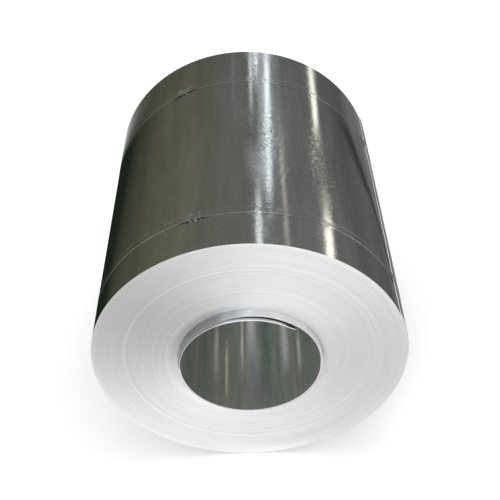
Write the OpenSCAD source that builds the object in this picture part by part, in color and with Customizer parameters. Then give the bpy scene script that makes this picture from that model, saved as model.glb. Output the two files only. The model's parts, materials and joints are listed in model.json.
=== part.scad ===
// Wide steel strip wound into a coil, lying on its side and held by two steel straps.
// The coil's axis runs along Y and its front end faces -Y. The straps' lowest points touch Z = 0.
// The origin is on the ground, under the middle of the coil's full length.

/* [Strip and coil] */
// Width of the strip, which is the length of the coil
strip_w = 1250; // [900:10:1500]
// Thickness of the strip
strip_t = 3; // [1.5:0.1:4]
// Outside diameter, over the last turn
coil_od = 1150; // [950:10:1400]
// Bore diameter, inside the first turn
bore_d = 508; // [450:1:610]

/* [Turns on the ends] */
// Rings that show on each end, each of several turns of strip
end_rings = 36; // [12:1:48]
// Depth of the hollow that the rings form on the front end, at its middle
dish = 8; // [0:0.5:12]
// Furthest that a ring stands proud of that hollow
ring_stray = 1.6; // [0.4:0.1:3]
// Depth of the line between two rings
ring_line_depth = 1.5; // [0.5:0.1:3]
// Width of the line between two rings
ring_line_w = 1.6; // [0.6:0.1:3]

/* [Inner turns that have slid forwards] */
// Mean radial thickness of the slid turns
slid_t = 9.5; // [8.5:0.5:14]
// Distance that they stand in front of the outermost ring
slid_out = 24; // [4:1:40]
// How much further they bulge on the side of the loose first turn
slid_bulge = 4; // [3:0.5:5]

/* [Loose first turn] */
// Where the strip's first edge ends in the bore, in degrees from the right, seen from the front
head_angle = 52; // [35:1:60]
// Where the gap behind the first turn is widest
gap_angle = 65; // [60:1:72]
// Reach of the gap outside the bore there
gap_reach = 11; // [6:0.5:11]
// How much further than the other slid turns the first turn stands out, at its furthest
first_turn_out = 12; // [2:1:20]
// How far round the bore from its edge the first turn stands out, in degrees
first_turn_span = 155; // [110:5:170]

/* [Last turn] */
// Where the strip's last edge ends on the outside
tail_angle = 24; // [5:1:45]

/* [Straps] */
// Width of a strap
strap_w = 32; // [19:1:40]
// Thickness of a strap
strap_t = 0.9; // [0.5:0.1:1.3]
// From the front of the outermost ring to the middle of the front strap
strap_front_at = 174; // [80:1:300]
// From the back of the outermost ring to the middle of the rear strap
strap_rear_at = 230; // [80:1:300]
// Gap between a strap and the strip under it
strap_gap = 0.2; // [0.1:0.1:0.5]

/* [Seals] */
// Length of a seal along its strap
seal_l = 60; // [40:1:80]
// Thickness of the seal's sheet
seal_t = 1.2; // [0.6:0.1:1.6]
// Gap between the seal and the flat of the straps inside it
seal_gap = 0.1; // [0.1:0.05:0.3]
// Gap between the seal and the straps' edges
seal_side_gap = 1.2; // [0.2:0.1:2]
// Width of the slot between the seal's two folded edges
seal_slot_w = 10; // [4:1:16]
// Crimps along each edge of a seal
seal_crimps = 3; // [2:1:4]
// Radius of one crimp
crimp_r = 4.4; // [3:0.1:6]
// Where the front seal sits, in degrees from the right
seal_front_angle = 108; // [95:1:140]
// Where the rear seal sits
seal_rear_angle = 115; // [95:1:140]

/* [Hidden] */

$fn = 180;

strip_grey = [0.62, 0.64, 0.64];
strap_grey = [0.50, 0.51, 0.50];
seal_grey = [0.70, 0.71, 0.70];

coil_r = coil_od / 2;
bore_r = bore_d / 2;

// Outline of the last turn: half of it is round about the axis, and the other half about a
// point half a thickness off it, so the outline closes with a step one strip thick. The strip
// winds outwards counter-clockwise, so the high side of the step is clockwise of its last edge.
tail_shift = strip_t / 2;
tail_r = coil_r - tail_shift;

// Circle behind the loose first turn. It crosses the bore this many degrees to each side of
// gap_angle, and reaches gap_reach beyond it between the two.
gap_half_angle = 65;
gap_shift = gap_reach / (1 - cos(gap_half_angle));
gap_r = bore_r + gap_reach - gap_shift;

// Outside of the turns that have slid forwards. Its middle is off the axis by slid_bulge.
slid_r = bore_r + slid_t;

// Rings on the ends, counted outwards from the slid turns
ring_w = (coil_r - slid_r) / end_rings;
golden_angle = 137.5;

half_l = strip_w / 2;
slid_front = half_l + slid_out;

// Slope of the first turn's edge. Seen from the front it is highest at gap_angle, and it meets
// the other slid turns at the end of first_turn_span.
first_turn_end = head_angle + first_turn_span;
first_turn_rise = first_turn_out / (1 - cos(first_turn_end - gap_angle));
first_turn_tilt = atan(first_turn_rise / bore_r);
// The block it is cut from runs this many degrees past both of its ends, to where the gap's
// opening trims one end and the other is below the slid turns.
first_turn_spare = 3;

// Heights over the coil's surface, where a strap runs through its seal.
lip_top = strap_gap + seal_t;
lower_strap_at = lip_top + seal_gap;
upper_strap_at = lower_strap_at + strap_t;
seal_top = upper_strap_at + strap_t + seal_gap;
seal_end = seal_l / 2;

// Distance between crimps, centre to centre
crimp_step = seal_l / seal_crimps;
// How deep a strap's straight stretches run into its round ones
tangent_sink = 0.05;
// Half the seal's width across the strap
seal_half_w = strap_w / 2 + seal_side_gap + seal_t;

// The coil's underside is on the half of the outline that is round about the axis. The axis
// stands this high, so that the straps touch the ground.
axis_height = coil_r + strap_gap + strap_t;

// Far enough to pass right through the coil
beyond = strip_w;

// A point at radius r and angle a
function polar(r, a) = [r * cos(a), r * sin(a)];

// The inner edge of ring i, and the outer edge of ring i - 1
function ring_edge(i) = slid_r + i * ring_w;

// How far ring i stands forwards of the outermost ring
function ring_out(i) =
    let (last = end_rings - 1)
    i == last ? 0 : dish * (i / last - 1) + ring_stray * (1 + sin(i * golden_angle)) / 2;

// Moves the middle of the coil's full length, with all that stands out, to the origin.
back_most = min([for (i = [0 : end_rings - 1]) ring_out(i)]);
mid_shift = (slid_out + first_turn_out + back_most) / 2;

// Where the tangent from point p touches the circle of radius r about the axis, on side 1 or -1,
// sunk a little into the circle so that the line crosses it
function tangent_point(p, r, side) =
    polar(r - tangent_sink, atan2(p[1], p[0]) + side * acos((r - tangent_sink) / norm(p)));

// Lays the coil on the ground with its axis along Y. It is drawn along Z with its front end up,
// centred between the ends of its outermost ring.
module lay_down() {
    translate([0, mid_shift, axis_height]) rotate([90, 0, 0]) children();
}

// The coil's outside outline, grown by grow
module last_turn_outline(grow = 0) {
    big = 2 * coil_od;
    rotate(tail_angle) {
        intersection() {
            circle(r = coil_r + grow);
            translate([-big / 2, -big]) square([big, big]);
        }
        intersection() {
            translate([-tail_shift, 0]) circle(r = tail_r + grow);
            translate([-big / 2, 0]) square([big, big]);
        }
    }
}

// Moves what is drawn about the axis, such as a seal, to the middle of the half that is off it.
module off_axis() {
    translate(polar(-tail_shift, tail_angle)) children();
}

// A sector of a disc from angle a to angle b, at most half a turn
module sector(r, a, b) {
    far = r / cos((b - a) / 4) * 1.05;
    intersection() {
        circle(r = r);
        polygon([[0, 0], polar(far, a), polar(far, (a * 3 + b) / 4), polar(far, (a + b) / 2),
            polar(far, (a + b * 3) / 4), polar(far, b)]);
    }
}

// The open middle of the coil: the bore, and the gap behind its loose first turn
module open_middle() {
    circle(r = bore_r);
    difference() {
        translate(polar(gap_shift, gap_angle)) circle(r = gap_r);
        sector(bore_r + strip_t, head_angle, gap_angle + gap_half_angle);
    }
}

// Cross-section of the wound strip
module wound_section() {
    difference() {
        last_turn_outline();
        open_middle();
    }
}

// Half of the coil's long section, with its rings. It runs past the bore and past the outside,
// which wound_section() trims.
module long_section() {
    inside = bore_r / 2;
    outside = coil_r * 1.1;
    last = end_rings - 1;
    front = [for (i = [0 : last]) each [
        [i == 0 ? inside : ring_edge(i) + ring_line_w / 2, half_l + ring_out(i)],
        [i == last ? outside : ring_edge(i + 1) - ring_line_w / 2, half_l + ring_out(i)],
        if (i < last)
            [ring_edge(i + 1), half_l + min(ring_out(i), ring_out(i + 1)) - ring_line_depth]
    ]];
    back = [for (i = [last : -1 : 0]) each [
        [i == last ? outside : ring_edge(i + 1) - ring_line_w / 2, ring_out(i) - half_l],
        [i == 0 ? inside : ring_edge(i) + ring_line_w / 2, ring_out(i) - half_l],
        if (i > 0)
            [ring_edge(i), max(ring_out(i), ring_out(i - 1)) - half_l + ring_line_depth]
    ]];
    polygon(concat(front, back));
}

// A cylinder over the slid turns, from height low to height high
module slid_block(low, high) {
    translate([0, 0, low]) linear_extrude(high - low)
        translate(polar(slid_bulge, gap_angle)) circle(r = slid_r);
}

// The first turn where it stands out, from height low up to its sloping edge. drop lowers the edge.
module first_turn_block(low, drop) {
    top = slid_front + first_turn_out - drop;
    intersection() {
        translate([0, 0, low]) linear_extrude(top + strip_t - low)
            sector(bore_r + strip_t, head_angle - first_turn_spare,
                first_turn_end + first_turn_spare);
        translate([0, 0, top - first_turn_rise]) rotate([0, -first_turn_tilt, gap_angle])
            translate([-coil_r, -coil_r, -beyond]) cube([coil_od, coil_od, beyond]);
    }
}

// The wound strip. The turns that have slid out of its front end have left its back end by as much.
module steel_coil() {
    color(strip_grey) lay_down() intersection() {
        difference() {
            union() {
                rotate_extrude() long_section();
                slid_block(0, slid_front);
                first_turn_block(0, 0);
            }
            slid_block(-beyond, slid_front - strip_w);
            first_turn_block(-beyond, strip_w);
        }
        linear_extrude(2 * beyond, center = true) wound_section();
    }
}

// Fills the corner that a strap bridges, past the step at the strip's last edge
module tail_bridge(grow) {
    corner = [coil_r + grow + tail_shift, 0];
    rotate(tail_angle) translate([-tail_shift, 0])
        polygon([[0, 0], corner, tangent_point(corner, tail_r + grow, 1)]);
}

// Fills the wedges that a strap bridges to each side of its seal. The strap's left half enters
// the seal at left_at over the coil and its right half at right_at, and the level changes at the
// seal's left end (step_side -1) or its right end (1).
module seal_bridge(grow, seal_angle, left_at, right_at, step_side) {
    left = [-seal_end, tail_r + left_at];
    right = [seal_end, tail_r + right_at];
    step = [step_side * seal_end, step_side < 0 ? right[1] : left[1]];
    off_axis() rotate(seal_angle - 90) polygon([
        [0, 0],
        tangent_point(right, tail_r + grow, -1),
        right,
        step,
        left,
        tangent_point(left, tail_r + grow, 1)
    ]);
}

// The crimps of one seal, which bite through the edges of the seal and the strap. The seal is
// at the top, over the middle of the strap.
module crimps() {
    for (side = [-1, 1], i = [0 : seal_crimps - 1])
        translate([(i - (seal_crimps - 1) / 2) * crimp_step, tail_r, side * seal_half_w])
            rotate([-90, 0, 0]) cylinder(r = crimp_r, h = 2 * seal_top, center = true, $fn = 32);
}

// One strap, centred on Z = 0. Its lower end stops at the seal's right end and its upper end at
// the seal's left end.
module strap(seal_angle) {
    color(strap_grey) difference() {
        linear_extrude(strap_w, center = true) difference() {
            union() {
                last_turn_outline(strap_gap + strap_t);
                tail_bridge(strap_gap + strap_t);
                seal_bridge(strap_gap + strap_t, seal_angle, upper_strap_at,
                    upper_strap_at + strap_t, -1);
            }
            union() {
                last_turn_outline(strap_gap);
                tail_bridge(strap_gap);
                seal_bridge(strap_gap, seal_angle, lower_strap_at, upper_strap_at, 1);
            }
        }
        off_axis() rotate(seal_angle - 90) crimps();
    }
}

// One seal: a sheet folded round both layers of its strap, centred on Z = 0
module seal(seal_angle) {
    channel_w = strap_w + 2 * seal_side_gap;
    channel_h = seal_top - lip_top;
    color(seal_grey) off_axis() rotate(seal_angle - 90) difference() {
        translate([0, tail_r + (strap_gap + seal_top + seal_t) / 2, 0])
            cube([seal_l, seal_top + seal_t - strap_gap, 2 * seal_half_w], center = true);
        translate([0, tail_r + lip_top + channel_h / 2, 0])
            cube([2 * seal_l, channel_h, channel_w], center = true);
        translate([0, tail_r + lip_top - seal_t, 0])
            cube([2 * seal_l, 3 * seal_t, seal_slot_w], center = true);
        crimps();
    }
}

module strap_front() {
    lay_down() translate([0, 0, strip_w / 2 - strap_front_at]) strap(seal_front_angle);
}

module strap_rear() {
    lay_down() translate([0, 0, strap_rear_at - strip_w / 2]) strap(seal_rear_angle);
}

module seal_front() {
    lay_down() translate([0, 0, strip_w / 2 - strap_front_at]) seal(seal_front_angle);
}

module seal_rear() {
    lay_down() translate([0, 0, strap_rear_at - strip_w / 2]) seal(seal_rear_angle);
}

steel_coil();
strap_front();
strap_rear();
seal_front();
seal_rear();
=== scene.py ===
"""Looks of a coil of galvanised steel strip: its turns, the inner turns that have slid forwards, the
loose first turn, the straps and their seals."""

import json
from math import atan2, cos, pi, radians, sin

import bpy
import numpy as np
from mathutils import Matrix, Vector


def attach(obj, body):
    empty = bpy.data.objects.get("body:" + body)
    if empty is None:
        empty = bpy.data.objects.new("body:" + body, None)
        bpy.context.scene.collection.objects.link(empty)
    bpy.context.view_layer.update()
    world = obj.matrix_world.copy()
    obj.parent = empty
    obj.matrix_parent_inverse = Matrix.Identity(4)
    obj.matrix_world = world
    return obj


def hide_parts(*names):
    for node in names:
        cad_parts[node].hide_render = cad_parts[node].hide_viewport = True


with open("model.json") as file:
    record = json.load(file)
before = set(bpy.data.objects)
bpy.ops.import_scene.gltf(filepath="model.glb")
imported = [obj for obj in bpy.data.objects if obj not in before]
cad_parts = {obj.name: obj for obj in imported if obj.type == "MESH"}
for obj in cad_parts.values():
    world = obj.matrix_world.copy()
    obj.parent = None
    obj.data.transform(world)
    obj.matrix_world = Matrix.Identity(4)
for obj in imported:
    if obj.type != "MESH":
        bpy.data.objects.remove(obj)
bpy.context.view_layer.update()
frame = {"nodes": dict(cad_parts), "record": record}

# Sizes of the coil, in millimetres
# Angles are in degrees, counter-clockwise from the right, as seen from the front.
STRIP_WIDTH = 1250.0
STRIP_THICK = 3.0
COIL_R = 575.0
BORE_R = 254.0
TAIL_ANGLE = 24.0        # the strip's last edge
DISH = 8.0               # how far the ends are hollowed, next to the slid turns
DEEPEST = 7.3            # how far the turns may stand out at the back, to stay inside the solid's box
SLID_THICK = 9.5         # the turns that have slid forwards, all together
SLID_OUT = 24.0          # how far they stand out
SLID_BULGE = 4.0         # how far they bulge towards the gap
GAP_ANGLE = 65.0         # the middle of the gap behind the loose first turn
GAP_HALF_ANGLE = 65.0    # from there to where the gap closes
GAP_REACH = 11.0         # from the bore to the gap's outside
HEAD_ANGLE = 52.0        # the strip's first edge
FIRST_TURN_SPAN = 155.0  # the angle along which the first turn is loose
FIRST_TURN_OUT = 12.0    # how far it stands out beyond the slid turns
LOOSE_SPAN = 24.0        # the angle along which the last turn is loose
LOOSE_LIFT = 0.9         # how far its edge stands off
STRAP_WIDTH = 32.0
STRAP_FRONT_AT = 174.0   # a strap's middle, behind the near face
STRAP_REAR_AT = STRIP_WIDTH - 230.0

DEG_STEP = 1.25          # between two points of a round outline
SHARP_ANGLE = 24.0       # between two faces that meet in a sharp edge

MM = 0.001
bore_mount = frame["record"]["mounts"][0]["pos_m"]
AXIS_Z = bore_mount[2]   # height of the coil's axis, in metres
NEAR_Y = bore_mount[1] - (STRIP_WIDTH / 2 - SLID_OUT) * MM   # the near face, in metres

rng = np.random.default_rng(41)
TURN_NOISE = rng.uniform(-1, 1, 140)    # a value for each turn, and some to spare
GROUP_NOISE = rng.uniform(-1, 1, 40)    # the same for each group of turns
GROUP_THICK = 11.0


# Outlines, seen from the front
def outer_outline(deg):
    """Radius of the coil's outside. It grows by one strip in the half turn past the strip's last
    edge, and is round in the other half."""
    turned = np.mod(np.asarray(deg, float) - TAIL_ANGLE, 360.0)
    a = np.radians(turned)
    shift = STRIP_THICK / 2
    growing = -shift * np.cos(a) + np.sqrt((COIL_R - shift) ** 2 - (shift * np.sin(a)) ** 2)
    return np.where(turned <= 180.0, growing, COIL_R)


def under_last_turn(deg):
    """The same outside without the free end of the last turn."""
    turned = np.mod(np.asarray(deg, float) - TAIL_ANGLE, 360.0)
    return outer_outline(deg) - np.where(turned > 360.0 - LOOSE_SPAN, STRIP_THICK, 0.0)


def off_axis_circle(deg, radius, shift, towards):
    """Radius, from the coil's axis, of a circle whose middle is off the axis."""
    a = np.radians(np.asarray(deg, float) - towards)
    return shift * np.cos(a) + np.sqrt(radius ** 2 - (shift * np.sin(a)) ** 2)


def slid_outline(deg):
    """Outside of the turns that have slid forwards."""
    return off_axis_circle(deg, BORE_R + SLID_THICK, SLID_BULGE, GAP_ANGLE)


def gap_outline(deg):
    """Outside of the gap behind the loose first turn, or the bore where there is no gap."""
    shift = GAP_REACH / (1 - cos(radians(GAP_HALF_ANGLE)))
    return np.maximum(BORE_R, off_axis_circle(deg, BORE_R + GAP_REACH - shift, shift, GAP_ANGLE))


def first_turn_rise(deg):
    """How far the first turn stands in front of the other slid turns."""
    end = radians(HEAD_ANGLE + FIRST_TURN_SPAN - GAP_ANGLE)
    slope = FIRST_TURN_OUT / (1 - cos(end))
    a = np.radians(np.asarray(deg, float) - GAP_ANGLE)
    return FIRST_TURN_OUT - slope * (1 - np.cos(a))


def ring_depth(radius):
    """How far behind the outermost ring the hollow of the end lies at this radius."""
    share = (radius - BORE_R - SLID_THICK) / (COIL_R - BORE_R - SLID_THICK)
    return DISH * (1 - np.clip(share, 0, 1))


def turn_offset(radius):
    """How far a turn stands behind the end's smooth hollow, from winding."""
    turn = int((radius - BORE_R) / STRIP_THICK)
    group = int((radius - BORE_R) / GROUP_THICK)
    return 0.45 + 0.11 * TURN_NOISE[turn] + 0.15 * GROUP_NOISE[group]


# Meshes
def swept(name, deg, radius, along, finish_of, finishes, closed):
    """A solid made by carrying a closed profile round the axis. radius and along hold one row for
    each point of the profile and one column for each angle, in millimetres. finish_of says which
    finish each side of the profile has. If the way round isn't closed, the two ends take the last one."""
    rows, columns = radius.shape
    a = np.radians(deg)[None, :]
    points = np.stack([
        radius * np.cos(a) * MM,
        NEAR_Y + along * MM,
        AXIS_Z + radius * np.sin(a) * MM,
    ], axis=-1).reshape(-1, 3)
    i, j = np.meshgrid(np.arange(rows), np.arange(columns if closed else columns - 1), indexing="ij")
    i2, j2 = (i + 1) % rows, (j + 1) % columns
    quads = np.stack([i * columns + j, i * columns + j2, i2 * columns + j2, i2 * columns + j], axis=-1)
    quads = quads.reshape(-1, 4)
    material = np.repeat(np.asarray(finish_of), i.shape[1])
    p = points[quads]
    volume = np.einsum("ij,ij->i", p[:, 0], np.cross(p[:, 1], p[:, 2]) + np.cross(p[:, 2], p[:, 3])).sum()
    inside_out = volume < 0
    if inside_out:
        quads = quads[:, ::-1]
    faces = [tuple(q) for q in quads.tolist()]
    material = material.tolist()
    if not closed:
        first = tuple(r * columns for r in range(rows))
        last = tuple(r * columns + columns - 1 for r in range(rows))
        faces += [first[::-1], last] if inside_out else [first, last[::-1]]
        material += [len(finishes) - 1] * 2
    mesh = bpy.data.meshes.new(name)
    mesh.from_pydata(points.tolist(), [], faces)
    for finish in finishes:
        mesh.materials.append(finish)
    mesh.polygons.foreach_set("material_index", material)
    mesh.shade_smooth()
    mesh.set_sharp_from_angle(angle=radians(SHARP_ANGLE))
    mesh.update()
    piece = bpy.data.objects.new(name, mesh)
    bpy.context.scene.collection.objects.link(piece)
    return piece


def wound_turns(name, edges, deg, inner, outer, in_finish, out_finish):
    """A tube of strip turns. edges are the mean radii between turns. inner and outer give the
    radius of its two walls at each angle, and in_finish and out_finish their finishes. The strip's
    edges show at both ends, with a groove between turns."""
    a = np.radians(deg)
    groove, half_groove = 0.9, 0.45
    wobble = 0.10            # how far a turn's edge wanders in and out on its way round
    inside, outside = inner(deg), outer(deg)
    walls = [inside] + [np.maximum(inside + k, edges[k]) for k in range(1, len(edges) - 1)] + [outside]
    radius, along, finish = [], [], []
    fronts, backs = [], []
    for k in range(len(edges) - 1):
        middle = (edges[k] + edges[k + 1]) / 2
        wander = turn_offset(middle) + wobble * np.sin(a + rng.uniform(0, 2 * pi))
        fronts.append(ring_depth(middle) + wander)
        backs.append(STRIP_WIDTH + np.minimum(ring_depth(middle) + wander, DEEPEST))
    for k in range(len(edges) - 1):
        if k:
            radius.append(walls[k])
            along.append(np.maximum(fronts[k - 1], fronts[k]) + groove)
            finish.append(ENDS)
        radius += [walls[k] + half_groove, walls[k + 1] - half_groove]
        along += [fronts[k], fronts[k]]
        finish += [ENDS, ENDS]
    radius += [outside, outside]
    along += [fronts[-1] + half_groove, backs[-1] - half_groove]
    finish += [out_finish, ENDS]
    for k in range(len(edges) - 2, -1, -1):
        radius += [walls[k + 1] - half_groove, walls[k] + half_groove]
        along += [backs[k], backs[k]]
        finish += [ENDS, ENDS]
        if k:
            radius.append(walls[k])
            along.append(np.minimum(backs[k - 1], backs[k]) - groove)
            finish.append(ENDS)
    radius += [inside, inside]
    along += [backs[0] - half_groove, fronts[0] + half_groove]
    finish += [in_finish, ENDS]
    return swept(name, deg, np.array(radius), np.array(along), finish, FINISHES, True)


# Shader building blocks
def feed(tree, value, socket):
    """Links an output to an input, or sets the input's value. A colour is given without its alpha."""
    if isinstance(value, bpy.types.NodeSocket):
        tree.links.new(value, socket)
    elif socket.type == "RGBA":
        socket.default_value = (*value, 1.0)
    else:
        socket.default_value = value


def add(tree, kind, inputs=(), **settings):
    """Adds a node, with its settings and its inputs by name or place."""
    made = tree.nodes.new(kind)
    for key, value in settings.items():
        setattr(made, key, value)
    for key, value in dict(inputs).items():
        feed(tree, value, made.inputs[key])
    return made


def calc(tree, operation, *values, clamp=False):
    inputs = dict(enumerate(values))
    return add(tree, "ShaderNodeMath", inputs, operation=operation, use_clamp=clamp).outputs[0]


def product(tree, first, second):
    return calc(tree, "MULTIPLY", first, second)


def distance(tree, first, second):
    return calc(tree, "ABSOLUTE", calc(tree, "SUBTRACT", first, second))


def remap(tree, value, low, high, to_low=0.0, to_high=1.0, smooth=True):
    """Carries low … high over to to_low … to_high. Past either end it stays at that end."""
    inputs = {0: value, 1: low, 2: high, 3: to_low, 4: to_high}
    way = "SMOOTHSTEP" if smooth else "LINEAR"
    return add(tree, "ShaderNodeMapRange", inputs, interpolation_type=way).outputs[0]


def vector_calc(tree, operation, *values):
    return add(tree, "ShaderNodeVectorMath", dict(enumerate(values)), operation=operation).outputs[0]


def scaled(tree, vector, x, y, z):
    return vector_calc(tree, "MULTIPLY", vector, (x, y, z))


def noise(tree, vector, scale, detail=2.0, rough=0.5):
    return add(tree, "ShaderNodeTexNoise", {
        "Vector": vector, "Scale": scale, "Detail": detail, "Roughness": rough}).outputs[0]


def pushed_about(tree, position, scale, reach):
    """A position moved by a noise, so that what is drawn by it isn't straight."""
    push = add(tree, "ShaderNodeTexNoise", {"Vector": position, "Scale": scale, "Detail": 1.0}).outputs[1]
    return vector_calc(tree, "MULTIPLY_ADD", push, (reach, reach, reach), position)


def blend_colour(tree, share, first, second, way="MIX"):
    inputs = {0: share, 6: first, 7: second}
    return add(tree, "ShaderNodeMix", inputs, data_type="RGBA", blend_type=way).outputs[2]


def lay_over(tree, mask, share, colour, tint):
    """Puts a tint over a colour where the mask is, at no more than that share."""
    return blend_colour(tree, product(tree, mask, share), colour, tint)


def scale_colour(tree, colour, factor):
    grey = add(tree, "ShaderNodeCombineColor", {0: factor, 1: factor, 2: factor}).outputs[0]
    return blend_colour(tree, 1.0, colour, grey, "MULTIPLY")


def shade_by(tree, colour, value, depth):
    """Multiplies a colour by 1 - depth … 1 + depth as value goes from 0 to 1."""
    return scale_colour(tree, colour, remap(tree, value, 0.0, 1.0, 1.0 - depth, 1.0 + depth, smooth=False))


def start_group(name, inputs, outputs):
    """Starts a node group, and gives its tree, what it is given and what it gives back."""
    tree = bpy.data.node_groups.new(name, "ShaderNodeTree")
    for way, labels in (("INPUT", inputs), ("OUTPUT", outputs)):
        for label in labels:
            kind = "NodeSocketVector" if label in ("Position", "Normal") else "NodeSocketFloat"
            tree.interface.new_socket(name=label, in_out=way, socket_type=kind)
    return tree, tree.nodes.new("NodeGroupInput").outputs, tree.nodes.new("NodeGroupOutput").inputs


def end_group(tree, gives, *values):
    for socket, value in zip(gives, values):
        feed(tree, value, socket)
    return tree


def use_group(tree, group, *values):
    """Adds a group, with values for its inputs in the order in which start_group names them."""
    return add(tree, "ShaderNodeGroup", dict(enumerate(values)), node_tree=group).outputs


def make_coil_place():
    """Where a point is on the coil: its angle in degrees, its radius and its distance behind the
    near face, both in millimetres."""
    tree, given, gives = start_group("coil_place", ["Position"], ["Angle", "Radius", "Along"])
    parts = add(tree, "ShaderNodeSeparateXYZ", {0: given["Position"]}).outputs
    up = calc(tree, "SUBTRACT", parts[2], AXIS_Z)
    angle = calc(tree, "DEGREES", calc(tree, "ARCTAN2", up, parts[0]))
    square = calc(tree, "ADD", product(tree, parts[0], parts[0]), product(tree, up, up))
    radius = calc(tree, "DIVIDE", calc(tree, "SQRT", square), MM)
    along = calc(tree, "DIVIDE", calc(tree, "SUBTRACT", parts[1], NEAR_Y), MM)
    return end_group(tree, gives, angle, radius, along)


def make_spangle():
    """Zinc crystals: each cell has its own tone and is tilted a little."""
    tree, given, gives = start_group(
        "zinc_spangle", ["Position", "Crystal Size", "Tilt"], ["Tone", "Normal"])
    bent = pushed_about(tree, given["Position"], scale=160.0, reach=0.0025)
    per_metre = calc(tree, "DIVIDE", 1.0, given["Crystal Size"])
    cells = add(tree, "ShaderNodeTexVoronoi", {"Vector": bent, "Scale": per_metre}).outputs["Color"]
    centred = vector_calc(tree, "SUBTRACT", cells, (0.5, 0.5, 0.5))
    lean = add(tree, "ShaderNodeVectorMath", {0: centred, "Scale": given["Tilt"]}, operation="SCALE")
    surface = tree.nodes.new("ShaderNodeNewGeometry").outputs["Normal"]
    normal = vector_calc(tree, "NORMALIZE", vector_calc(tree, "ADD", surface, lean.outputs[0]))
    tone = add(tree, "ShaderNodeSeparateColor", {0: cells}).outputs[1]
    return end_group(tree, gives, tone, normal)


def make_rolled_lines():
    """Fine lines left by the rolls, which run along the strip and so round the coil."""
    tree, given, gives = start_group("rolled_lines", ["Position", "Lines per Metre"], ["Lines"])
    stretched = scaled(tree, given["Position"], 0.012, 1.0, 0.012)
    fine = noise(tree, stretched, given["Lines per Metre"], 2.0, 0.7)
    return end_group(tree, gives, remap(tree, fine, 0.3, 0.7, smooth=False))


def make_lengthwise_tones():
    """Soft tones that run along the axis, where the strip's oil lies thicker or thinner."""
    tree, given, gives = start_group(
        "lengthwise_tones", ["Position", "Bands per Metre"], ["Tone", "Fine Tone"])
    stretched = scaled(tree, given["Position"], 1.0, 0.09, 1.0)
    wide = noise(tree, stretched, given["Bands per Metre"], 2.0, 0.5)
    narrow = noise(tree, stretched, product(tree, given["Bands per Metre"], 4.5), 3.0, 0.6)
    return end_group(tree, gives, remap(tree, wide, 0.3, 0.7), remap(tree, narrow, 0.3, 0.7))


def make_stripe():
    """One soft-edged stripe along the coil: 1 in its middle and 0 outside."""
    tree, given, gives = start_group(
        "lengthwise_stripe",
        ["Angle", "Along", "Middle", "Slant", "Half Width", "From", "To", "Fade"], ["Mask"])
    middle = calc(tree, "MULTIPLY_ADD", given["Along"], given["Slant"], given["Middle"])
    off = distance(tree, given["Angle"], middle)
    across = calc(tree, "SUBTRACT", 1.0, calc(tree, "DIVIDE", off, given["Half Width"]), clamp=True)
    across = remap(tree, across, 0.0, 1.0)
    past_start = calc(tree, "SUBTRACT", given["Along"], given["From"])
    before_end = calc(tree, "SUBTRACT", given["To"], given["Along"])
    after = calc(tree, "DIVIDE", past_start, given["Fade"], clamp=True)
    before = calc(tree, "DIVIDE", before_end, given["Fade"], clamp=True)
    return end_group(tree, gives, product(tree, across, product(tree, after, before)))


def make_turn_lines():
    """The strip's slit edges on the coil's ends: a fine line between turns, and each turn's own tone."""
    tree, given, gives = start_group(
        "turn_lines", ["Radius", "Angle", "Pitch"], ["Tone", "Line", "Height"])
    wound = calc(tree, "DIVIDE", calc(tree, "SUBTRACT", given["Radius"], BORE_R), given["Pitch"])
    turn = calc(tree, "FLOOR", wound)
    across = calc(tree, "FRACT", wound)
    lap = product(tree, given["Angle"], 0.006)
    place = add(tree, "ShaderNodeCombineXYZ", {0: turn, 1: lap, 2: 0.0}).outputs[0]
    apart = 7.31             # sets a turn far enough from the next to have a tone of its own
    tone = noise(tree, scaled(tree, place, apart, 1.0, 1.0), 1.0, 1.0, 0.5)
    line = remap(tree, distance(tree, across, 0.5), 0.36, 0.5)
    grain_place = add(tree, "ShaderNodeCombineXYZ", {0: given["Radius"], 1: lap, 2: 0.0}).outputs[0]
    grain = noise(tree, scaled(tree, grain_place, 1.9, 6.0, 1.0), 1.0, 3.0, 0.7)
    height = calc(tree, "SUBTRACT", grain, product(tree, line, 0.8))
    return end_group(tree, gives, remap(tree, tone, 0.3, 0.7, smooth=False), line, height)


def make_end_sheen():
    """A painted sheen: how bright the ends' turned edges look round the coil, brightest above and below the
    bore.
    """
    tree, given, gives = start_group("end_sheen", ["Angle", "Radius"], ["Sheen"])

    def wave(kind, waves_round, offset, size):
        phase = calc(tree, "MULTIPLY_ADD", given["Angle"], radians(waves_round), radians(offset))
        return product(tree, calc(tree, kind, phase), size)

    above_below = calc(tree, "ADD", wave("COSINE", 2.0, -126.5, 0.150), 0.985)
    uneven = calc(tree, "ADD", wave("COSINE", 1.0, 67.0, 0.115), wave("SINE", 3.0, 18.0, -0.054))
    outwards = remap(tree, given["Radius"], BORE_R, COIL_R, 1.02, 0.985, smooth=False)
    return end_group(tree, gives, product(tree, calc(tree, "ADD", above_below, uneven), outwards))


def make_handling_marks():
    """Smears and rubbed spots from handling."""
    tree, given, gives = start_group("handling_marks", ["Position", "Marks per Metre"], ["Smear"])
    bent = pushed_about(tree, given["Position"], scale=5.0, reach=0.5)
    smear = noise(tree, bent, given["Marks per Metre"], 4.0, 0.62)
    return end_group(tree, gives, remap(tree, smear, 0.52, 0.72))


COIL_PLACE = make_coil_place()
SPANGLE = make_spangle()
ROLLED_LINES = make_rolled_lines()
LENGTHWISE_TONES = make_lengthwise_tones()
STRIPE = make_stripe()
TURN_LINES = make_turn_lines()
HANDLING_MARKS = make_handling_marks()
END_SHEEN = make_end_sheen()


# Materials
# Angles are in degrees, as above, so 90 is over the bore. Radii and places along the coil are in
# millimetres. Scales of noise are per metre.
def start_material(name):
    material = bpy.data.materials.new(name)
    material.use_nodes = True
    tree = material.node_tree
    shader = tree.nodes["Principled BSDF"]
    position = tree.nodes.new("ShaderNodeTexCoord").outputs["Object"]
    return material, tree, shader, position


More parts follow.
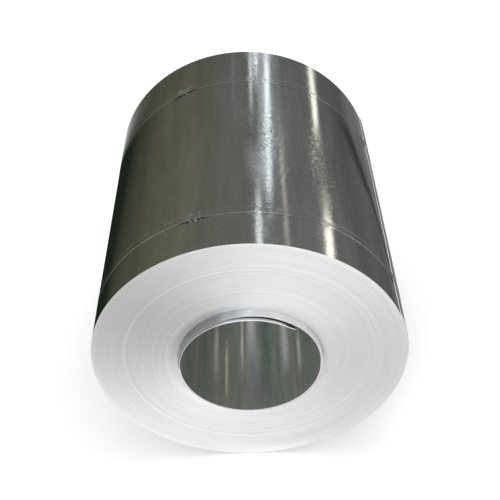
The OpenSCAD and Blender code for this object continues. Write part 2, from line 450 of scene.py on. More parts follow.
def start_coil_material(name):
    """The same, with the place on the coil as well."""
    material, tree, shader, position = start_material(name)
    return material, tree, shader, position, use_group(tree, COIL_PLACE, position)


def set_look(tree, shader, colour, roughness, metallic):
    feed(tree, colour, shader.inputs["Base Color"])
    feed(tree, roughness, shader.inputs["Roughness"])
    feed(tree, metallic, shader.inputs["Metallic"])


def dim_when_flat(tree, shader):
    """Keeps the metal from turning white where it is seen at a flat angle."""
    feed(tree, 0.0, shader.inputs["Specular IOR Level"])
    feed(tree, (0.42, 0.42, 0.42), shader.inputs["Specular Tint"])


def bump_up(tree, shader, height, strength, depth, **normal):
    """Gives a material a fine relief, over the crystals' leaning normals where they are given."""
    inputs = {"Height": height, "Strength": strength, "Distance": depth, **normal}
    feed(tree, add(tree, "ShaderNodeBump", inputs).outputs[0], shader.inputs["Normal"])


def stripe_mask(tree, place, middle, slant, half_width, start, end, fade):
    """A stripe along the coil. middle and half_width are in degrees, slant in degrees a millimetre,
    and start, end and fade in millimetres."""
    sizes = middle, slant, half_width, start, end, fade
    return use_group(tree, STRIPE, place["Angle"], place["Along"], *sizes)["Mask"]


def stripes(tree, colour, place, rows):
    """Lays soft stripes over a colour. Each row is a colour, its share, and what stripe_mask asks for."""
    for tint, share, *sizes in rows:
        colour = lay_over(tree, stripe_mask(tree, place, *sizes), share, colour, tint)
    return colour


def outside_colour(tree, place, tones, marks):
    """Colour of the strip's outside, with its painted reflections, and the share of it that the painted
    dark reflection leaves uncovered.
    """
    # Painted reflections: the tone is dimmer and yellower over the upper left, and lighter on the right and
    # at the bottom.
    dimmer = blend_colour(tree, tones["Tone"], (0.092, 0.093, 0.066), (0.112, 0.112, 0.083))
    mid_tone = blend_colour(tree, tones["Tone"], (0.102, 0.106, 0.096), (0.120, 0.123, 0.112))
    bright = blend_colour(tree, tones["Tone"], (0.122, 0.127, 0.121), (0.138, 0.143, 0.136))
    angle = calc(tree, "WRAP", place["Angle"], 270.0, -90.0)
    mid_right, mid_left = remap(tree, angle, 116.0, 94.0), remap(tree, angle, 175.0, 250.0)
    colour = blend_colour(tree, calc(tree, "MAXIMUM", mid_right, mid_left), dimmer, mid_tone)
    bright_right, bright_left = remap(tree, angle, 90.0, 74.0), remap(tree, angle, 215.0, 268.0)
    colour = blend_colour(tree, calc(tree, "MAXIMUM", bright_right, bright_left), colour, bright)
    # Painted reflections along the coil: lighter bands over the top and upper left, and a bright painted
    # reflection of the last turn's cut edge beside it.
    colour = stripes(tree, colour, place, [
        # colour, share, middle, slant, half width, from, to, fade
        ((0.135, 0.128, 0.104), 0.35, 112, 0, 7, -100, 1400, 300),
        ((0.236, 0.243, 0.240), 0.70, 86.9, 0, 4.6, 300, 610, 120),
        ((0.190, 0.190, 0.200), 0.45, 90.4, -0.039, 0.8, 310, 490, 60),
        ((0.850, 0.850, 0.840), 0.95, 24.5, 0, 0.7, -200, 760, 500),
    ])
    colour = shade_by(tree, colour, tones["Fine Tone"], 0.07)
    colour = lay_over(tree, marks["Smear"], 0.14, colour, (0.17, 0.175, 0.18))

    # A painted dark reflection: strong low on both sides, and almost black there at a flat angle.
    facing = add(tree, "ShaderNodeLayerWeight", {"Blend": 0.5}).outputs["Facing"]
    off_right = calc(tree, "ABSOLUTE", place["Angle"])
    fainter_at_back = remap(tree, place["Along"], 930.0, 1190.0, 1.0, 0.15)
    left = product(tree, remap(tree, off_right, 96.0, 122.0), fainter_at_back)
    left = product(tree, left, remap(tree, facing, 0.60, 0.805))
    right = remap(tree, off_right, 42.0, 30.0, 0.0, 0.50)
    right = product(tree, right, remap(tree, facing, 0.65, 0.78))
    painted_dark_reflection = calc(tree, "MAXIMUM", left, right)
    flat_angle = remap(tree, facing, 0.35, 0.62)
    for share, *sizes in (
        # painted dark reflection lines: share, middle, slant, half width, from, to, fade
        (0.85, 20.4, 0.0195, 5, 120, 740, 130),
        (0.82, 15.3, 0.0300, 8.2, 440, 1050, 150),
        (0.38, 45.5, 0, 5, 760, 1080, 120),
        (0.92, 22.2, 0, 2.5, -300, 1600, 100),
        (0.50, 27.3, 0, 3.2, 100, 1600, 100),
    ):
        line = product(tree, stripe_mask(tree, place, *sizes), share)
        painted_dark_reflection = calc(tree, "MAXIMUM", painted_dark_reflection, product(tree, line, flat_angle))
    return blend_colour(tree, painted_dark_reflection, colour, (0.014, 0.020, 0.013)), calc(tree, "SUBTRACT", 1.0, painted_dark_reflection)


def make_strip_outside():
    """The coil's outside: smooth galvanised strip, with painted reflections that turn dark low on both
    sides.
    """
    material, tree, shader, position, place = start_coil_material("strip_outside")
    tones = use_group(tree, LENGTHWISE_TONES, position, 6.0)
    lines = use_group(tree, ROLLED_LINES, position, 260.0)["Lines"]
    marks = use_group(tree, HANDLING_MARKS, position, 6.0)

    # Where the zinc is coarse, its crystals lean more and scatter a streak of light into specks.
    cloud = remap(tree, noise(tree, position, 5.0, 2.0, 0.5), 0.35, 0.65, 0.5, 1.0)
    coarse_right = stripe_mask(tree, place, 58.0, 0.0, 22.0, 200.0, 780.0, 200.0)
    coarse_top = stripe_mask(tree, place, 82.0, 0.0, 14.0, 560.0, 720.0, 90.0)
    grainy_top = stripe_mask(tree, place, 81.5, 0.0, 8.0, 330.0, 960.0, 200.0)
    tilt = calc(tree, "MULTIPLY_ADD", product(tree, coarse_right, cloud), 0.095, 0.020)
    tilt = calc(tree, "MULTIPLY_ADD", product(tree, coarse_top, cloud), 0.035, tilt)
    tilt = calc(tree, "MULTIPLY_ADD", grainy_top, 0.016, tilt)
    crystals = use_group(tree, SPANGLE, position, 0.0038, tilt)

    colour, metal_share = outside_colour(tree, place, tones, marks)
    colour = shade_by(tree, colour, lines, 0.05)
    colour = shade_by(tree, colour, crystals["Tone"], 0.08)
    coarse = calc(tree, "MAXIMUM", coarse_right, calc(tree, "MAXIMUM", coarse_top, grainy_top))
    # Painted shade: dark specks where the zinc is coarse, along the streaks of light.
    specks = remap(tree, noise(tree, position, 170.0, 1.0, 0.5), 0.50, 0.60, 0.0, 0.50)
    specks = product(tree, specks, coarse)
    colour = blend_colour(tree, specks, colour, (0.035, 0.037, 0.030))

    rough = remap(tree, tones["Fine Tone"], 0.0, 1.0, 0.090, 0.112)
    for extra, share in ((marks["Smear"], 0.07), (crystals["Tone"], 0.02), (coarse_right, 0.040)):
        rough = calc(tree, "MULTIPLY_ADD", extra, share, rough)
    set_look(tree, shader, colour, rough, metal_share)
    dim_when_flat(tree, shader)
    waves = noise(tree, scaled(tree, position, 1.0, 0.35, 1.0), 14.0)
    height = calc(tree, "MULTIPLY_ADD", waves, 0.6, lines)
    bump_up(tree, shader, height, 0.030, 0.002, Normal=crystals["Normal"])
    return material


def make_strip_inside():
    """The bore's wall: the same strip, painted much lighter to make up for the bore's shade, with painted
    highlights and dark reflections in lengthwise streaks.
    """
    material, tree, shader, position, place = start_coil_material("strip_inside")
    tones = use_group(tree, LENGTHWISE_TONES, position, 11.0)
    lines = use_group(tree, ROLLED_LINES, position, 260.0)["Lines"]
    marks = use_group(tree, HANDLING_MARKS, position, 9.0)
    crystals = use_group(tree, SPANGLE, position, 0.005, 0.07)

    # Painted light: the bore's strip is much lighter than the outside's, to make up for the bore's shade.
    colour = blend_colour(tree, tones["Tone"], (0.32, 0.39, 0.35), (0.47, 0.46, 0.41))
    # Painted highlights in the white stripes, and painted reflections in the tinted and darker ones.
    colour = stripes(tree, colour, place, [
        # colour, share, middle, slant, half width, from, to, fade
        ((1, 1, 1), 1, -88.5, 0, 6.5, 170, 1500, 170),
        ((1, 1, 1), 1, 89, 0, 10, -100, 1500, 170),
        ((0.45, 0.47, 0.56), 0.7, -87, 0, 6, -100, 400, 200),
        ((1, 1, 1), 1, -56.5, 0, 6.6, 90, 900, 150),
        ((0.92, 1, 1), 1, -41, 0, 3.8, 70, 330, 90),
        ((0.98, 0.96, 0.90), 1, -122.5, 0, 3.8, 60, 480, 170),
        ((1, 0.98, 0.86), 1, -112.2, 0, 2.2, 0, 330, 110),
        ((1, 0.98, 0.90), 1, -97.5, 0, 2, 150, 640, 130),
        ((0.17, 0.24, 0.20), 0.6, -76, 0, 7, -100, 1500, 200),
        ((0.24, 0.33, 0.31), 0.5, -136, 0, 5, 60, 1500, 200),
    ])
    colour = shade_by(tree, colour, tones["Fine Tone"], 0.12)
    colour = shade_by(tree, colour, lines, 0.05)
    colour = shade_by(tree, colour, crystals["Tone"], 0.08)
    colour = lay_over(tree, marks["Smear"], 0.15, colour, (0.16, 0.14, 0.13))
    # Darker near the front and low on the right.
    near_front = remap(tree, place["Along"], 290.0, 0.0, 0.0, 0.43)
    off_low_right = calc(tree, "ABSOLUTE", calc(tree, "ADD", place["Angle"], 28.0))
    low_right = remap(tree, off_low_right, 13.0, 4.0, 0.0, 0.30)
    dimmer = calc(tree, "MAXIMUM", near_front, low_right)
    colour = blend_colour(tree, dimmer, colour, (0.10, 0.10, 0.09))
    set_look(tree, shader, colour, remap(tree, tones["Fine Tone"], 0.0, 1.0, 0.30, 0.42), 0.35)
    bump_up(tree, shader, lines, 0.06, 0.001, Normal=crystals["Normal"])
    return material


def slid_side_colour(tree, place):
    """Painted reflections on the slid turns' outside: grey on the left, bluish above the bore, lighter on
    the right.
    """
    to_left = remap(tree, place["Angle"], 107.0, 115.0)
    to_right = remap(tree, place["Angle"], 84.0, 64.0)
    to_top = remap(tree, place["Angle"], 104.0, 88.0)
    over_bore = blend_colour(tree, to_top, (0.42, 0.45, 0.49), (0.70, 0.73, 0.76))
    colour = blend_colour(tree, to_left, over_bore, (0.30, 0.305, 0.31))
    return blend_colour(tree, to_right, colour, (0.83, 0.83, 0.83))


def make_slid_side():
    """The outside of the turns that have slid out: bare, dry galvanised strip, with painted reflections by
    angle.
    """
    material, tree, shader, position, place = start_coil_material("slid_side")
    lines = use_group(tree, ROLLED_LINES, position, 420.0)["Lines"]
    crystals = use_group(tree, SPANGLE, position, 0.005, 0.07)
    colour = shade_by(tree, slid_side_colour(tree, place), lines, 0.18)
    colour = shade_by(tree, colour, crystals["Tone"], 0.06)
    set_look(tree, shader, colour, remap(tree, lines, 0.0, 1.0, 0.28, 0.40), 0.6)
    bump_up(tree, shader, lines, 0.08, 0.001, Normal=crystals["Normal"])
    return material


def make_gap_shade():
    """The first turn's back, with the gap's shade painted on: darkest towards the strip's first edge, paler
    where the gap closes, and stained.
    """
    material, tree, shader, position, place = start_coil_material("gap_shade")
    lines = use_group(tree, ROLLED_LINES, position, 420.0)["Lines"]
    stains = noise(tree, position, 45.0, 2.0, 0.6)
    to_top, to_left = remap(tree, place["Angle"], 70.0, 84.0), remap(tree, place["Angle"], 92.0, 104.0)
    colour = blend_colour(tree, to_top, (0.035, 0.037, 0.035), (0.110, 0.113, 0.110))
    colour = blend_colour(tree, to_left, colour, (0.30, 0.30, 0.30))
    colour = shade_by(tree, colour, stains, 0.3)
    colour = shade_by(tree, colour, lines, 0.1)
    set_look(tree, shader, colour, remap(tree, stains, 0.3, 0.7, 0.5, 0.75), 0.3)
    bump_up(tree, shader, lines, 0.1, 0.001)
    return material


def make_slit_edge(name, light, dark, tint=None, bands=()):
    """The strip's slit edges: bright sheared steel, in fine lines round the coil. Each band is a
    radius, a half width, its share on the right and on the left, and a tone. The edges have the
    ends' painted sheen, or a tint by place instead."""
    material, tree, shader, position, place = start_coil_material(name)
    radius, angle = place["Radius"], place["Angle"]
    turns = use_group(tree, TURN_LINES, radius, angle, STRIP_THICK)
    marks = use_group(tree, HANDLING_MARKS, position, 5.0)
    colour = blend_colour(tree, turns["Tone"], dark, light)
    if bands:
        on_left = remap(tree, calc(tree, "ABSOLUTE", angle), 70.0, 125.0)
        for middle, half_width, share_right, share_left, tone in bands:
            off = distance(tree, radius, middle)
            share = remap(tree, on_left, 0.0, 1.0, share_right, share_left, smooth=False)
            colour = lay_over(tree, remap(tree, off, half_width, 0.0), share, colour, (tone, tone, tone))
        ring_place = add(tree, "ShaderNodeCombineXYZ", {0: radius, 1: angle}).outputs[0]
        rings = noise(tree, scaled(tree, ring_place, 0.10, 0.012, 1.0), 1.0, 2.0, 0.6)
        colour = shade_by(tree, colour, remap(tree, rings, 0.3, 0.7), 0.030)
    colour = shade_by(tree, colour, turns["Height"], 0.055)
    colour = lay_over(tree, turns["Line"], 0.10, colour, (0.42, 0.42, 0.42))
    colour = lay_over(tree, marks["Smear"], 0.08, colour, (0.58, 0.58, 0.57))
    if tint:
        colour = tint(tree, colour, place)
    else:
        colour = scale_colour(tree, colour, use_group(tree, END_SHEEN, angle, radius)["Sheen"])
    set_look(tree, shader, colour, remap(tree, turns["Tone"], 0.0, 1.0, 0.46, 0.36), 0.55)
    bump_up(tree, shader, turns["Height"], 0.20, 0.0012)
    return material


def unchanged(tree, colour, place):
    """For a cut end, which has neither a sheen nor a tint."""
    return colour


def like_slid_side(tree, colour, place):
    """The slid turns' rim: like their outside's painted reflections above the bore, with painted shade
    greying it on the right and a painted shade line next to the strip's first edge.
    """
    above_bore = remap(tree, distance(tree, place["Angle"], 90.0), 97.0, 80.0)
    colour = blend_colour(tree, above_bore, colour, slid_side_colour(tree, place))
    # Painted shade: the rim is greyer on the right.
    greyer = remap(tree, place["Angle"], 60.0, 36.0, 0.0, 0.9)
    colour = blend_colour(tree, greyer, colour, (0.63, 0.63, 0.63))
    # Painted shade: a dark line along the bore's edge, next to the strip's first edge.
    off_edge = distance(tree, place["Angle"], 42.0)
    next_to_bore = remap(tree, place["Radius"], 258.0, 256.0)
    line = product(tree, remap(tree, off_edge, 13.0, 8.0), next_to_bore)
    return blend_colour(tree, line, colour, (0.03, 0.03, 0.03))


def shaded_on_left(tree, colour, place):
    """The first turn's edge: bright above the bore, with painted shade darkening it on its left."""
    left_shade = remap(tree, place["Angle"], 100.0, 124.0, 0.0, 0.9)
    return blend_colour(tree, left_shade, colour, (0.44, 0.44, 0.44))


def shaded_at_free_end(tree, colour, place):
    """Just behind the first turn's edge: a painted highlight as bright as the edge, with painted shade on
    its left and near its free end.
    """
    colour = shaded_on_left(tree, colour, place)
    dark = remap(tree, place["Angle"], 66.0, 57.0)
    return blend_colour(tree, dark, colour, (0.050, 0.052, 0.050))


def make_strap_steel(name, middle):
    """Steel strapping: the strip's own tone in the middle, with the outside's painted reflections, and
    painted highlights along its rounded edges, broken by a noise that is also its worn relief.
    """
    material, tree, shader, position, place = start_coil_material(name)
    tones = use_group(tree, LENGTHWISE_TONES, position, 6.0)
    marks = use_group(tree, HANDLING_MARKS, position, 12.0)
    crystals = use_group(tree, SPANGLE, position, 0.004, 0.05)
    colour, metal_share = outside_colour(tree, place, tones, marks)
    # Painted highlights for the edges: bright on the right, dim above the bore, paler on the left.
    to_right, to_left = remap(tree, place["Angle"], 64.0, 52.0), remap(tree, place["Angle"], 108.0, 124.0)
    edge_highlight = blend_colour(tree, to_right, (0.26, 0.27, 0.26), (0.85, 0.85, 0.83))
    edge_highlight = blend_colour(tree, to_left, edge_highlight, (0.62, 0.62, 0.58))
    # across is 1 on the strap's front edge and -1 on its back edge.
    across = calc(tree, "DIVIDE", calc(tree, "SUBTRACT", middle, place["Along"]), STRAP_WIDTH / 2)
    wear_and_highlight_break = noise(tree, position, 30.0, 3.0, 0.6)
    front_highlight_strength, back_highlight_strength = remap(tree, wear_and_highlight_break, 0.25, 0.6, 0.55, 1.0), remap(tree, wear_and_highlight_break, 0.35, 0.65, 0.1, 0.6)
    front_highlight = product(tree, remap(tree, across, 0.80, 0.97), front_highlight_strength)
    back_highlight = product(tree, remap(tree, across, -0.88, -0.98), back_highlight_strength)
    edges = calc(tree, "MAXIMUM", front_highlight, back_highlight)
    colour = blend_colour(tree, edges, colour, edge_highlight)
    metallic = calc(tree, "MAXIMUM", metal_share, edges)
    set_look(tree, shader, colour, remap(tree, marks["Smear"], 0.0, 1.0, 0.12, 0.24), metallic)
    dim_when_flat(tree, shader)
    bump_up(tree, shader, wear_and_highlight_break, 0.1, 0.001, Normal=crystals["Normal"])
    return material


def make_seal_zinc():
    """The crimped seals: zinc-plated sheet, blotchy with oil, with small bright ticks, and with painted
    light on the side that faces forwards.
    """
    material, tree, shader, position, place = start_coil_material("seal_zinc")
    marks = use_group(tree, HANDLING_MARKS, position, 40.0)
    crystals = use_group(tree, SPANGLE, position, 0.004, 0.06)
    cloud = noise(tree, position, 70.0, 1.0, 0.5)
    is_front = remap(tree, place["Along"], 700.0, 500.0)
    light = blend_colour(tree, is_front, (0.215, 0.230, 0.205), (0.145, 0.150, 0.137))
    colour = blend_colour(tree, remap(tree, cloud, 0.36, 0.64), (0.095, 0.098, 0.084), light)
    ticks = remap(tree, noise(tree, position, 150.0, 1.0, 0.5), 0.66, 0.72)
    colour = blend_colour(tree, ticks, colour, (0.42, 0.44, 0.41))
    colour = lay_over(tree, marks["Smear"], 0.3, colour, (0.30, 0.31, 0.29))
    # Painted light: the side that faces forwards is paler, most of all in the seal's middle.
    normal = tree.nodes.new("ShaderNodeNewGeometry").outputs["Normal"]
    forwards = add(tree, "ShaderNodeSeparateXYZ", {0: normal}).outputs["Y"]
    middle = remap(tree, is_front, 0.0, 1.0, 115.0, 108.0, smooth=False)
    off_middle = distance(tree, place["Angle"], middle)
    to_ends = remap(tree, off_middle, 1.9, 2.7)
    side = blend_colour(tree, to_ends, (0.42, 0.45, 0.44), (0.36, 0.38, 0.36))
    colour = blend_colour(tree, remap(tree, forwards, -0.15, -0.6), colour, side)
    colour = shade_by(tree, colour, crystals["Tone"], 0.20)
    set_look(tree, shader, colour, remap(tree, cloud, 0.3, 0.7, 0.20, 0.34), 1.0)
    dim_when_flat(tree, shader)
    bump_up(tree, shader, cloud, 0.12, 0.001, Normal=crystals["Normal"])
    return material


# The coil's pieces
strip_outside = make_strip_outside()
strip_inside = make_strip_inside()
slid_side = make_slid_side()
slit_edge = make_slit_edge("slit_edge", (0.750, 0.750, 0.750), (0.712, 0.711, 0.708), bands=(
    # radius, half width, share on the right, share on the left, tone
    (446, 7, 0.10, 0.46, 0.64),
    (457, 6.5, 0.08, 0.66, 0.82),
    (285, 8, 0.00, 0.55, 0.64),
    (306, 8, 0.05, 0.55, 0.82),
    (564, 9, 0.30, 0.60, 0.82),
    (478, 5, 0.00, 0.22, 0.64),
    (434, 4, 0.00, 0.20, 0.64),
    (494, 6, 0.26, 0.05, 0.64),
    (482, 6, 0.26, 0.00, 0.82),
    (405, 2, 0.18, 0.18, 0.64),
    (543, 2.5, 0.15, 0.20, 0.64),
    (270, 2, 0.16, 0.16, 0.60),
))
lip_edge = make_slit_edge("lip_edge", (0.95, 0.95, 0.95), (0.88, 0.88, 0.88), shaded_on_left)
cut_edge = make_slit_edge("cut_edge", (0.95, 0.95, 0.94), (0.88, 0.88, 0.87), unchanged)
slid_rim = make_slit_edge("slid_rim", (0.76, 0.76, 0.76), (0.70, 0.70, 0.70), like_slid_side)
# The first turn's outside just behind its edge: a painted highlight, with painted shade on its left and
# near its free end.
lip_back = make_slit_edge("lip_back", (0.92, 0.92, 0.92), (0.84, 0.84, 0.84), shaded_at_free_end)
gap_shade = make_gap_shade()

FINISHES = [slit_edge, strip_inside, strip_outside, slid_side, slid_rim]
ENDS, INSIDE, OUTSIDE, SIDE, RIM = range(5)
# The radii where the middle, the outer and the outermost turns start.
MIDDLE_EDGE, OUTER_EDGE, LAST_EDGE = 359.0, 461.0, 568.5

round_deg = np.arange(0.0, 360.0, DEG_STEP)
# The outside steps down where the last turn's loose part starts, and at its edge.
STEP_AT, HAIR = 360.0 - LOOSE_SPAN, 0.02
tail_deg = TAIL_ANGLE + np.concatenate([
    np.arange(0.0, STEP_AT, DEG_STEP), [STEP_AT - HAIR, STEP_AT + HAIR],
    np.arange(STEP_AT, 360.0, DEG_STEP)[1:], [360.0 - 2 * HAIR]])


def even_edges(low, high):
    return np.linspace(low, high, int(round((high - low) / STRIP_THICK)) + 1)


def at_radius(radius):
    """A plain round wall, for wound_turns."""
    return lambda deg: np.full(len(deg), radius)


outer_turns = wound_turns(
    "outer_turns", np.append(even_edges(OUTER_EDGE, LAST_EDGE), COIL_R), tail_deg,
    at_radius(OUTER_EDGE), under_last_turn, OUTSIDE, OUTSIDE)
middle_turns = wound_turns(
    "middle_turns", even_edges(MIDDLE_EDGE, OUTER_EDGE), round_deg,
    at_radius(MIDDLE_EDGE), at_radius(OUTER_EDGE), OUTSIDE, OUTSIDE)
inner_turns = wound_turns(
    "inner_turns", even_edges(BORE_R + SLID_THICK - SLID_BULGE, MIDDLE_EDGE), round_deg,
    slid_outline, at_radius(MIDDLE_EDGE), SIDE, OUTSIDE)


def make_slid_turns():
    """The inner turns that have slid forwards, with the gap behind the loose first turn."""
    inside, outside = gap_outline(round_deg), slid_outline(round_deg)
    behind_first_turn = (round_deg > HEAD_ANGLE) & (round_deg < HEAD_ANGLE + FIRST_TURN_SPAN)
    # The gap is narrower towards the strip's first edge.
    narrower = 2.2 * np.clip((76.0 - round_deg) / 16.0, 0, 1)
    inside = np.where(behind_first_turn, np.maximum(inside - narrower, BORE_R + STRIP_THICK), inside)
    thick = outside - inside
    # The rim's profile: shares of its thickness, and how far each point lies behind its front.
    shares = [0.0, 0.06, 0.28, 0.34, 0.40, 0.62, 0.68, 0.74, 0.94, 1.0]
    depths = [0.5, 0.0, 0.0, 0.9, 0.3, 0.3, 1.1, 0.1, 0.1, 0.6]
    radius = [inside + share * thick for share in shares + shares[::-1]]
    places = [depth - SLID_OUT for depth in depths]
    places += [STRIP_WIDTH - SLID_OUT - depth for depth in depths[::-1]]
    along = np.repeat(np.array(places)[:, None], len(round_deg), axis=1)
    sides = len(shares) - 1
    finish = [RIM] * sides + [SIDE] + [ENDS] * sides + [INSIDE]
    return swept("slid_turns", round_deg, np.array(radius), along, finish, FINISHES, True)


def make_first_turn():
    """The strip's first turn: it has sprung loose and stands out further than the other slid turns.
    The front corner of its free end curls outwards."""
    end = HEAD_ANGLE + FIRST_TURN_SPAN
    deg = np.append(np.arange(HEAD_ANGLE, end, DEG_STEP), end)
    rise = np.maximum(first_turn_rise(deg), 0.0)
    curl = 3.6 * np.exp((HEAD_ANGLE - deg) / 3.0)
    half_curled, uncurled = 10.5, 14.0      # behind the front
    bevel = 0.6
    front, back = -SLID_OUT - rise, STRIP_WIDTH - SLID_OUT - rise
    inner = np.full(len(deg), BORE_R)
    outer = inner + STRIP_THICK
    finishes = [lip_edge, strip_inside, gap_shade, lip_back, lip_edge]
    lip, wall, shade, behind_lip = range(4)
    radius, along, finish = zip(*(
        # radius, place along the axis, finish from here to the next point
        (inner, front + uncurled, wall),
        (inner + curl, front + bevel, lip),
        (inner + bevel + curl, front, lip),
        (outer - bevel + curl, front, lip),
        (outer + curl, front + bevel, behind_lip),
        (outer + curl / 2, front + half_curled, shade),
        (outer, front + uncurled, shade),
        (outer, back - bevel, lip),
        (outer - bevel, back, lip),
        (inner + bevel, back, lip),
        (inner, back - bevel, wall)))
    return swept("first_turn", deg, np.array(radius), np.array(along), finish, finishes, False)


def make_last_turn_end():
    """The free end of the strip's last turn. It lifts a little wherever no strap holds it down."""
    turned = np.append(np.arange(-LOOSE_SPAN, 0.0, 1.0), 0.0)
    held = STRAP_WIDTH / 2 + 4      # from a strap's middle to where the lift starts
    lift_run, bevel, clear = 150.0, 0.6, 0.05
    held_at = [at + side * held for at in (STRAP_FRONT_AT, STRAP_REAR_AT) for side in (-1, 1)]
    along = np.sort(np.concatenate([
        held_at, np.linspace(30, STRIP_WIDTH - 30, 29), [bevel, 4, STRIP_WIDTH - 4, STRIP_WIDTH - bevel]]))
    from_strap = np.minimum(np.abs(along - STRAP_FRONT_AT), np.abs(along - STRAP_REAR_AT)) - held
    free = np.clip(from_strap / lift_run, 0, 1)
    free = free * free * (3 - 2 * free)
    lift = LOOSE_LIFT * free[:, None] * ((turned + LOOSE_SPAN) / LOOSE_SPAN)[None, :] ** 2
    outer = COIL_R + lift
    inner = outer - STRIP_THICK + clear
    radius = np.concatenate([inner, outer[::-1]])
    places = np.repeat(np.concatenate([along, along[::-1]])[:, None], len(turned), axis=1)
    finish = ([0] * (len(along) - 1) + [1]) * 2
    finishes = [strip_outside, slit_edge, cut_edge]
    return swept("last_turn_end", TAIL_ANGLE + turned, radius, places, finish, finishes, False)


slid_turns = make_slid_turns()
first_turn = make_first_turn()
last_turn_end = make_last_turn_end()

for piece in (outer_turns, middle_turns, inner_turns, slid_turns, first_turn, last_turn_end):
    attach(piece, "root")
    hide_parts("steel_coil")

seal_zinc = make_seal_zinc()
for node_name, finish in (
    ("strap_front", make_strap_steel("strap_steel_front", STRAP_FRONT_AT)),
    ("strap_rear", make_strap_steel("strap_steel_rear", STRAP_REAR_AT)),
    ("seal_front", seal_zinc),
    ("seal_rear", seal_zinc),
):
    node_mesh = frame["nodes"][node_name].data
    for k in range(len(node_mesh.materials)):
        node_mesh.materials[k] = finish
    if not node_mesh.materials:
        node_mesh.materials.append(finish)


# Camera
CAMERA_LENS, SENSOR_WIDTH = 59.106, 36.0
CAMERA_PITCH, CAMERA_YAW, CAMERA_ROLL = radians(41.90), radians(-0.024), radians(-1.600)
UP = Vector((0, 0, 1))
# From the middle of the near face, in outside radii of the coil.
CAMERA_RIGHT, CAMERA_BACK, CAMERA_UP = 0.01935, 3.39698, 3.99819
CAMERA_PLACE = Vector((
    CAMERA_RIGHT * COIL_R * MM,
    NEAR_Y - CAMERA_BACK * COIL_R * MM,
    AXIS_Z + CAMERA_UP * COIL_R * MM,
))


def place_camera():
    """The camera that took the photo, as fitted to its edges."""
    ahead = cos(CAMERA_PITCH)
    forward = Vector((sin(CAMERA_YAW) * ahead, cos(CAMERA_YAW) * ahead, -sin(CAMERA_PITCH)))
    level = forward.cross(UP).normalized()
    upright = level.cross(forward)
    right = level * cos(CAMERA_ROLL) + upright * sin(CAMERA_ROLL)
    up = upright * cos(CAMERA_ROLL) - level * sin(CAMERA_ROLL)
    turn = Matrix((right, up, -forward)).transposed()
    data = bpy.data.cameras.new("camera")
    data.lens = CAMERA_LENS
    data.sensor_width = SENSOR_WIDTH
    camera = bpy.data.objects.new("camera", data)
    camera.matrix_world = Matrix.Translation(CAMERA_PLACE) @ turn.to_4x4()
    bpy.context.scene.collection.objects.link(camera)
    bpy.context.scene.camera = camera


place_camera()


# Lamps, floor and background
def lamp(name, place, aim, across, height, radiance, colour=(1.0, 1.0, 1.0), long_axis=UP):
    """A rectangular area lamp of that size, in metres, facing aim. Its height runs near long_axis.
    Its radiance is what a mirror would show of it."""
    back = (Vector(place) - Vector(aim)).normalized()
    side = long_axis.cross(back).normalized()
    up = back.cross(side)
    data = bpy.data.lights.new(name, "AREA")
    data.shape = "RECTANGLE"
    data.size, data.size_y = across, height
    data.energy = radiance * pi * across * height
    data.color = colour
    made = bpy.data.objects.new(name, data)
    made.matrix_world = Matrix.Translation(Vector(place)) @ Matrix((side, up, back)).transposed().to_4x4()
    bpy.context.scene.collection.objects.link(made)


def streak_lamp(name, near_angle, far_angle, start, end, reach, across, radiance, colour):
    """A long lamp behind and above the coil, which shows to the camera as a streak along the
    coil's outside, from near_angle at start to far_angle at end, in millimetres behind the near face."""
    ends = []
    for angle, along in ((near_angle, start), (far_angle, end)):
        a = radians(angle)
        spot = Vector((cos(a), sin(a))) * COIL_R * MM
        to_camera = Vector((CAMERA_PLACE.x, CAMERA_PLACE.z - AXIS_Z)) - spot
        away = 2 * a - atan2(to_camera.y, to_camera.x)
        place = spot + reach * Vector((cos(away), sin(away)))
        y = NEAR_Y + along * MM
        y += (y - CAMERA_PLACE.y) * reach / to_camera.length
        ends.append((Vector((place.x, y, AXIS_Z + place.y)), Vector((spot.x, y, AXIS_Z + spot.y))))
    long_axis = ends[1][0] - ends[0][0]
    place, aim = (ends[0][0] + ends[1][0]) / 2, (ends[0][1] + ends[1][1]) / 2
    lamp(name, place, aim, across, long_axis.length, radiance, colour, long_axis)


COOL, PALE_COOL, PINK = (0.84, 0.87, 1.0), (0.88, 0.91, 1.0), (1.0, 0.86, 0.80)
WARM_FAR, WARM_NEAR = (1.0, 0.975, 0.865), (1.0, 0.885, 0.80)

for streak in (
    # name, near and far angle, start, end, reach, width, radiance, colour
    ("main_streak", 81.8, 78.9, 296, 1500, 2.4, 0.20, 7.7, COOL),
    ("main_glow", 82.6, 80.2, 270, 1500, 2.5, 0.54, 2.1, COOL),
    ("main_halo", 79.4, 77.2, 330, 1500, 2.7, 0.80, 0.60, COOL),
    ("far_streak", 86.8, 86.2, 860, 1500, 2.6, 0.10, 11, COOL),
    ("short_streak", 84.1, 84.1, 1205, 1500, 2.6, 0.155, 30, COOL),
    ("near_streak", 85.8, 85.6, -90, 235, 2.2, 0.17, 8.5, PALE_COOL),
    ("warm_far_streak", 60.1, 58.5, 760, 1450, 2.2, 0.20, 12.5, WARM_FAR),
    ("warm_near_streak", 61.9, 61.2, -90, 196, 2.2, 0.27, 10, WARM_NEAR),
    ("warm_glow", 61.2, 60.2, 200, 760, 2.3, 0.28, 1.00, WARM_FAR),
    ("thin_streak", 76.7, 76.4, -90, 640, 2.2, 0.038, 6.4, PINK),
    ("faint_streak", 94, 94, 820, 1400, 2.6, 0.07, 1.2, COOL),
):
    streak_lamp(*streak)

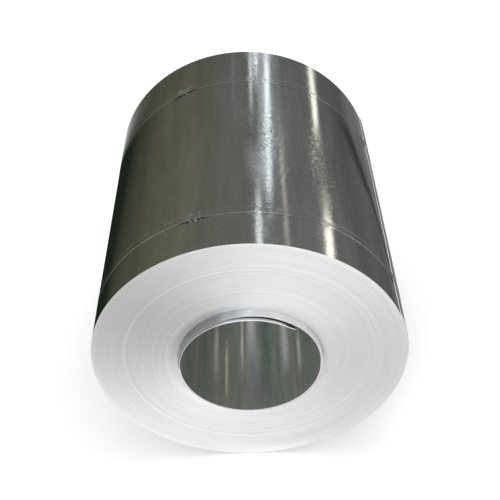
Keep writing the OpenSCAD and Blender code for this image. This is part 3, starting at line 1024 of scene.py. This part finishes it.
lamp("front_soft", (-1.2, -4.6, 3.6), aim=(0.0, NEAR_Y, AXIS_Z), across=3.0, height=2.6, radiance=4.6)
lamp("top_soft", (0.5, 0.2, 5.2), aim=(0.0, 0.0, 0.0), across=3.4, height=3.4, radiance=0.9)


FLOOR_GLOW = 0.32
FLOOR_REACH = 40.0       # from the floor's middle to its edge, in metres
WORLD_LIGHT = 0.62       # what the background lights with, where it shows as 1


def is_seen(tree):
    """1 for the rays that show something to the camera, straight or by a reflection, and 0 for light."""
    rays = tree.nodes.new("ShaderNodeLightPath").outputs
    turned_back = calc(tree, "ADD", rays["Is Glossy Ray"], rays["Is Transmission Ray"])
    return calc(tree, "ADD", rays["Is Camera Ray"], turned_back, clamp=True)


def make_floor():
    """A wide pale floor. It shows white where it is lit, and keeps the coil's shadow."""
    material, tree, shader, position = start_material("pale_floor")
    cloud = noise(tree, position, 1.7, 3.0, 0.5)
    colour = blend_colour(tree, remap(tree, cloud, 0.3, 0.7), (0.86, 0.86, 0.86), (0.88, 0.88, 0.88))
    set_look(tree, shader, colour, 0.9, 0.0)
    strength = product(tree, is_seen(tree), FLOOR_GLOW)
    glow = add(tree, "ShaderNodeEmission", {"Color": (1.0, 1.0, 1.0), "Strength": strength})
    both = add(tree, "ShaderNodeAddShader", {0: shader.outputs[0], 1: glow.outputs[0]})
    feed(tree, both.outputs[0], tree.nodes["Material Output"].inputs["Surface"])
    corners = [(FLOOR_REACH * x, FLOOR_REACH * y, 0) for x, y in ((-1, -1), (1, -1), (1, 1), (-1, 1))]
    mesh = bpy.data.meshes.new("floor")
    mesh.from_pydata(corners, [], [(0, 1, 2, 3)])
    mesh.materials.append(material)
    floor = bpy.data.objects.new("floor", mesh)
    bpy.context.scene.collection.objects.link(floor)


def make_world():
    """A background that shows pure white, and lights the coil with less than that."""
    world = bpy.data.worlds.new("studio")
    world.use_nodes = True
    bpy.context.scene.world = world
    tree = world.node_tree
    background = tree.nodes["Background"].inputs
    feed(tree, (1.0, 1.0, 1.0), background["Color"])
    strength = remap(tree, is_seen(tree), 0.0, 1.0, WORLD_LIGHT, 1.0, smooth=False)
    feed(tree, strength, background["Strength"])


make_floor()
make_world()
bpy.context.scene.view_settings.view_transform = "Standard"
